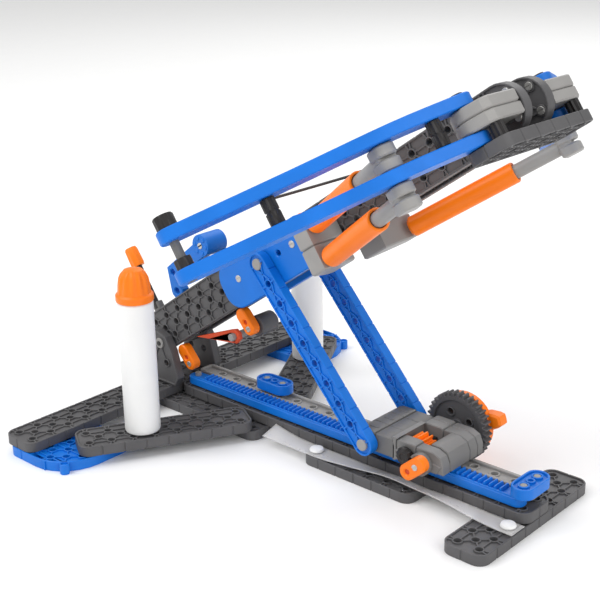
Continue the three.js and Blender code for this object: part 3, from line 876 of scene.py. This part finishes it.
def build_arm():
    panel = Solid(ARM @ shift(-0.1) @ standing(-T - GAP / 2 - LAYER))
    panel.add(beam(25, 2, [CORNER, P - 0.1, P - 0.1, CORNER]))
    pair("arm_panel", panel, "dark_gray", "arm", "arm_beam_{}")

    core = Solid(ARM @ shift(1.5 * P, 0, -3))
    core.add(beam(22, 1, 2))
    piece("arm_core_beam", core, "dark_gray", "arm", "arm_core")

    cover = Solid(ARM @ standing(-1.5 * P + GAP / 2))
    outline = rounded(6.7 * P, -1.25 * P, 12.9 * P, P, [0.9 * P, T * 0.3, T * 0.3, 0.9 * P], 8)
    cover.add(prism([outline, hole(11 * P, 0, 1.8)], 0, LAYER, 0.5))
    pair("side_cover_body", cover, "blue", "arm", "side_cover_{}")
    pins = Solid(ARM @ standing(-1.5 * P + GAP / 2) @ turn("X", 180))
    for s in (8 * P, 12 * P):
        pins.add(slotted(2.05, 0.1, 0.35), shift(s))
    pair("cover_pins", pins, "steel", "arm")

    head = Solid(ARM @ shift(24 * P, -3 * P, -1.5 * P) @ turn("Z", 90))
    head.add(beam(6, 2))
    piece("head_beam", head, "dark_gray", "arm", "head_plate")
    build_head_pins()
    build_connectors()
    build_piston_mounts()


def build_head_pins():
    """Slotted pins in the panels near the bow."""
    pins = Solid(ARM @ standing(-T - GAP / 2 - LAYER) @ turn("X", 180))
    for s, n in ((24.5 * P, 0.5 * P), (24.5 * P, -0.5 * P), (17.5 * P, 0.5 * P)):
        pins.add(slotted(2.0, 0.1, 0.3), shift(s, -n))
    pair("panel_pins", pins, "steel", "arm")
    inner = Solid(ARM @ standing(-T - GAP / 2))
    for s, n in ((24.5 * P, 0.5 * P), (24.5 * P, -0.5 * P)):
        inner.add(slotted(2.0, 0.1, 0.3), shift(s, n))
    pair("panel_inner_pins", inner, "steel", "arm")


def build_connectors():
    outline = [
        (ARM_LENGTH - 2.3 * P, -2.3 * P), (ARM_LENGTH - 1.6 * P, -3.1 * P),
        (ARM_LENGTH - 1.3 * P, -3.2 * P), (ARM_LENGTH - 0.9 * P, -3.2 * P),
        (ARM_LENGTH - 0.3 * P, -3.0 * P), (ARM_LENGTH - 0.1 * P, -2.7 * P),
        (ARM_LENGTH - 0.1 * P, -P - GAP), (ARM_LENGTH - 2.3 * P, -P - GAP),
    ]
    solid = Solid(ARM)
    for z0, z1 in ((-T + GAP, -0.1), (0.1, T - GAP)):
        solid.add(prism([outline, hole(*LIMB_ROOT, HOLE)], z0, z1, 0.7))
    pair("limb_connector_body", solid, "light_gray", "arm", "limb_connector_{}")
    spacers = Solid(ARM)
    high = LIMB_HIGH + LAYER
    pin = [
        (0, LIMB_LOW - 0.4), (3.4, LIMB_LOW - 0.4), (1.9, LIMB_LOW),
        (1.9, high), (3.4, high + 0.3), (3.2, high + 1.0), (0, high + 1.0),
    ]
    spacers.add(turned(pin, 16), shift(*LIMB_ROOT))
    head_top = GAP - 1.5 * P + LAYER
    spacer = [(0, head_top), (3.6, head_top), (3.6, -T), (0, -T)]
    spacers.add(turned(spacer, 36, 9, 0.6, (1, 2)), shift(ARM_LENGTH - 5.5, -32))
    pair("limb_root_pin", spacers, "black", "arm")


def build_piston_mounts():
    s, _ = PISTON_TAIL
    outline = [
        (s - 1.7 * P, -1.5 * P), (s - 0.9 * P, -3.1 * P), (s - 0.1 * P, -3.1 * P), (s - 0.1 * P, -1.8 * P),
        (s - 0.3 * P, -P - GAP), (s - 1.7 * P, -P - GAP),
    ]
    solid = Solid(ARM)
    for z0, z1 in ((-1.9 * P, -0.8 * P - 0.1), (-0.8 * P + 0.1, 0.3 * P)):
        solid.add(prism(outline, z0, z1, 0.8))
    pair("piston_mount_body", solid, "light_gray", "arm", "piston_mount_{}")


# ---------------------------------------------------------------- limbs and pistons
def build_limbs():
    line = smooth_line(LIMB_LINE, 5)
    outline = strip(line, LIMB_HALF, 12)
    for name, low in (("lower", LIMB_LOW), ("upper", LIMB_HIGH)):
        solid = Solid(ARM).add(prism(outline, low, low + LAYER, 0.5))
        pair(f"limb_{name}", solid, "blue", "limb_{}", f"limb_plate_{name}_{{}}")

    post = Solid(ARM)
    profile = [
        (0, GAP - T), (3.4, GAP - T), (3.6, 0.5 - T), (3.6, -0.5), (3.0, -0.2),
        (3.0, 0.2), (3.6, 0.5), (3.6, T - 0.5), (3.4, T - GAP), (0, T - GAP),
    ]
    for at in (POST, ROOT_POST):
        post.add(turned(profile, 36, 9, 0.6, (2, 3, 6, 7)), shift(*at))
    pair("limb_post_body", post, "black", "limb_{}", "limb_post_{}")

    tip = Solid(ARM @ shift(*TIP_POST))
    top = LIMB_HIGH + LAYER
    cap = [
        (0, top), (4.6, top), (4.9, top + 0.4), (4.9, top + 5.6),
        (4.4, top + 6.2), (2, top + 6.2), (1.7, top + 5.4), (0, top + 5.4),
    ]
    tip.add(turned(cap, 40, 10, 0.6, (2, 3)))
    low = LIMB_LOW + LAYER
    collar = [(0, low), (4.0, low), (4.2, low + 0.4), (4.2, low + 4.4), (3.9, low + 4.8), (0, low + 4.8)]
    tip.add(turned(collar, 40, 8, 0.5, (2, 3)))
    pair("limb_tip_caps", tip, "black", "limb_{}")
    shaft = Solid(ARM @ shift(*TIP_POST))
    shaft.add(prism(rounded(-1.7, -1.7, 1.7, 1.7, 0.4, 2), LIMB_LOW - 0.3, top + 0.5, 0.2))
    pair("limb_tip_shaft", shaft, "mid_gray", "limb_{}")


def build_pistons():
    way = PISTON_HEAD - PISTON_TAIL
    reach = float(np.linalg.norm(way))
    swing = math.degrees(math.atan2(way[1], way[0]))
    for name, level in LEVELS.items():
        place = ARM @ shift(*PISTON_TAIL, level) @ turn("Z", swing)
        barrel = Solid(place @ ALONG_X)
        barrel.add(turned([
            (0, 1), (TUBE_R - 1.2, 1), (TUBE_R, 2.4), (TUBE_R, TUBE_LENGTH - 0.5), (TUBE_R - 0.4, TUBE_LENGTH),
            (ROD_R + 0.7, TUBE_LENGTH), (ROD_R + 0.4, TUBE_LENGTH - 0.5), (ROD_R + 0.4, 8), (0, 8),
        ], 32))
        pair(f"piston_barrel_{name}", barrel, "orange", "tubes_{}", f"piston_tube_{name}_{{}}")

        stem = Solid(place)
        stem.add(rod(ROD_R, 20, reach - 3, 0.3, 24), ALONG_X)
        body = rounded(reach - T + 0.8, 0.8 - T, reach + T - 0.8, T - 0.8, [1.5, 4.2, 4.2, 1.5], 5)
        stem.add(prism(body, GAP - T, -0.7, 0.7))
        stem.add(prism(body, 0.7, T - GAP, 0.7))
        stem.add(prism(rounded(reach - T + 1.2, -T + 1.6, reach + 2, T - 1.6, 0.5, 3), -0.9, 0.9, 0.1))
        pair(f"piston_stem_{name}", stem, "light_gray", "rods_{}", f"piston_rod_{name}_{{}}")


# ---------------------------------------------------------------- string, trigger, levers, band
STRING_N = P + 1.6
STRING_R = 0.75
DRUM = (71, 31.2)
COCKING_LINE = [(27, 17.5), (29.5, 28.5), (69, 31.2)]
LATCHES = {"rear": 18.5, "front": 82.5}
LATCH_N = -23.3
TRIGGER = (5.4, -5)


def build_string():
    """Two halves of the bowstring, each from the middle of the arm to a limb's tip post."""
    for side, sign in (("r", -1), ("l", 1)):
        line = [(206, 0, STRING_N), (206.6, sign * 40, STRING_N), (208, sign * 90, STRING_N),
                (210, sign * 125, STRING_N), (211.5, sign * 141, STRING_N)]
        solid = Solid(ARM).add(swept(smooth_line(line, 8), STRING_R))
        replaced = ["bowstring"] if side == "r" else []
        half = piece(f"bowstring_{side}", solid, "cord_black", None, *replaced)
        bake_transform(half)
    nock = Solid(ARM @ shift(206, 0, STRING_N))
    nock.add(rod(1.5, -5, 5, 0.4), turn("X", 90))
    piece("string_nock", nock, "black", "arm")


def build_levers():
    trigger = Solid(ARM @ shift(*TRIGGER))
    low, high = 3.5 * P, 4.5 * P
    profile = [(0, low), (4.2, low), (4.6, 3.65 * P), (4.3, 4.4 * P), (3.6, high), (0, high)]
    trigger.add(turned(profile, 36, 8, 0.5, (1, 2, 3)))
    piece("trigger_tip", trigger, "orange", "trigger", "trigger_lever")
    stem = Solid(ARM @ shift(*TRIGGER))
    stem.add(prism(rounded(-1.6, -1.6, 1.6, 1.6, 0.3, 2), P + 2, 4 * P, 0.2))
    piece("trigger_shaft", stem, "black", "trigger")
    collar = Solid(ARM @ shift(*TRIGGER))
    collar.add(prism(rounded(-3.6, -1.4, 3.6, 3.2, 1.3, 4), P + 0.5, P + 6, 0.5))
    piece("trigger_collar", collar, "mid_gray", "trigger")

    cocking = Solid(ARM @ standing(-LAYER / 2))
    outline = strip(COCKING_LINE, 0.42 * P, 8)
    holes = [hole(s, n, HOLE) for s, n in ((27, 17.5), (31, 28.8), (48, 29.8))]
    cocking.add(prism([outline, *holes], 0, LAYER, 0.5))
    cocking.add(turned([(0, -5), (5.4, -5), (6.6, -5), (6.9, -4.6), (6.9, 11), (6.4, 11.4), (0, 11.4)], 32),
                shift(*DRUM))
    for stud in range(6):
        place = shift(*DRUM) @ turn("Z", 60 * stud + 20) @ shift(4.6)
        cocking.add(prism(circle(0, 0, 1.3, 10), -5.5, -4, 0.3), place)
    piece("cocking_lever_body", cocking, "blue", "cocking", "cocking_lever")
    screw = Solid(ARM @ standing(-LAYER / 2) @ shift(*DRUM) @ turn("X", 180))
    screw.add(slotted(1.9, 5.0, 0.4))
    piece("cocking_screw", screw, "steel", "cocking")

    for name, s in LATCHES.items():
        body = f"latch_{name}"
        place = ARM @ standing(-P + GAP, s, LATCH_N, 7)
        latch = Solid(place)
        outline = rounded(-0.33 * P, -0.62 * P, 0.33 * P, 0.74 * P, 0.32 * P, 7)
        latch.add(prism([outline, hole(0, 0.05 * P, 1.5, 12)], 0, LAYER, 0.7))
        piece(f"{body}_body", latch, "orange", body, f"latch_lever_{name}")
        plug = Solid(place).add(rod(1.5, 1.4, 4, 0.1, 12), shift(0, 0.05 * P))
        piece(f"{body}_plug", plug, "rubber_red", body)
        screw = Solid(place @ turn("X", 180)).add(slotted(1.7, 0.1, 0.4), shift(0, 0.3 * P))
        piece(f"{body}_screw", screw, "steel", body)


def build_band():
    loop = [(66, -30.8), (70.5, -29.6), (72, -26.4), (70.5, -23.2), (66, -21.8), (35.5, -14.7)]
    inner = [(69, -25.2), (69, -27.6), (66, -28.8), (45.5, -19.8), (66, -23.8)]
    band = Solid(ARM @ standing(-P + 1.5)).add(prism([loop, inner], 0, 3, 0.4))
    piece("band_loop", band, "rubber_red", "arm", "rubber_band")
    pin = Solid(ARM @ standing(-P - 1, 66.6, -26.4)).add(rod(2.3, 0, P, 0.4, 20))
    piece("band_pin", pin, "light_gray", "arm")
    roller = Solid(ARM @ standing(-P + GAP, LATCHES["front"], LATCH_N, 7))
    roller.add(rod(6.2, LAYER + 0.5, LAYER + 14, 0.6, 32), shift(0, -0.3 * P))
    piece("latch_roller", roller, "dark_gray", "latch_front")


# ---------------------------------------------------------------- darts
DART = (32.9, -71.5)
DART_R = 10.3
DART_LOW = P
DART_LENGTH = 79
CAP_LENGTH = 19


def build_darts():
    body = Solid(shift(*DART, DART_LOW))
    body.add(turned([
        (0, 0), (DART_R - 1.4, 0), (DART_R - 0.3, 0.5), (DART_R, 1.6),
        (DART_R, DART_LENGTH - 0.8), (DART_R - 0.6, DART_LENGTH), (0, DART_LENGTH),
    ], 48))
    pair("dart_tube", body, "white", "dart_{}", "dart_body_{}")
    cap = Solid(shift(*DART, DART_LOW + DART_LENGTH + GAP))
    top = CAP_LENGTH - GAP
    cap.add(turned([(0, 0), (DART_R + 0.2, 0), (DART_R + 0.4, 0.5), (DART_R + 0.4, 3.4), (DART_R, 4.0),
                    (DART_R - 0.9, 4.6), (DART_R - 1.2, 9), (DART_R - 1.9, 13.2), (DART_R - 3.0, 15.6),
                    (DART_R - 5.0, top - 1.0), (3.2, top - 0.4), (0, top)], 96, 12, 0.8, (6, 7, 8)))
    pair("dart_cap_body", cap, "orange", "dart_{}", "dart_cap_{}")


# ---------------------------------------------------------------- studio
def build_studio():
    floor_mesh = bpy.data.meshes.new("floor")
    reach = 6.0
    corners = [(-reach, -reach, 0), (reach, -reach, 0), (reach, reach, 0), (-reach, reach, 0)]
    floor_mesh.from_pydata(corners, [], [(0, 1, 2, 3)])
    floor = bpy.data.objects.new("floor", floor_mesh)
    bpy.context.scene.collection.objects.link(floor)
    floor_mesh.materials.append(plastic("floor", (0.97, 0.97, 0.965), 0.75, 0.003, 0.0))
    world = bpy.data.worlds.new("studio")
    world.use_nodes = True
    background = world.node_tree.nodes["Background"]
    background.inputs["Color"].default_value = (1.0, 1.0, 1.0, 1)
    background.inputs["Strength"].default_value = 0.66
    bpy.context.scene.world = world
    lamps = [
        ("key", (-0.5, -1.0, 1.5), 1.3, 18),
        ("front", (1.5, -0.1, 0.9), 1.2, 9),
        ("back", (-0.4, 1.4, 1.3), 1.2, 8),
    ]
    bpy.context.scene.view_settings.view_transform = "Standard"
    target = Vector((0.1, 0, 0.1))
    for name, place, size, power in lamps:
        data = bpy.data.lights.new(name, "AREA")
        data.size = size
        data.energy = power
        lamp = bpy.data.objects.new(name, data)
        lamp.location = place
        lamp.rotation_mode = "QUATERNION"
        lamp.rotation_quaternion = (target - Vector(place)).to_track_quat("-Z", "Y")
        bpy.context.scene.collection.objects.link(lamp)


build_base()
build_track()
build_carriage()
build_struts()
build_arm()
build_limbs()
build_pistons()
build_string()
build_levers()
build_band()
build_darts()
build_studio()
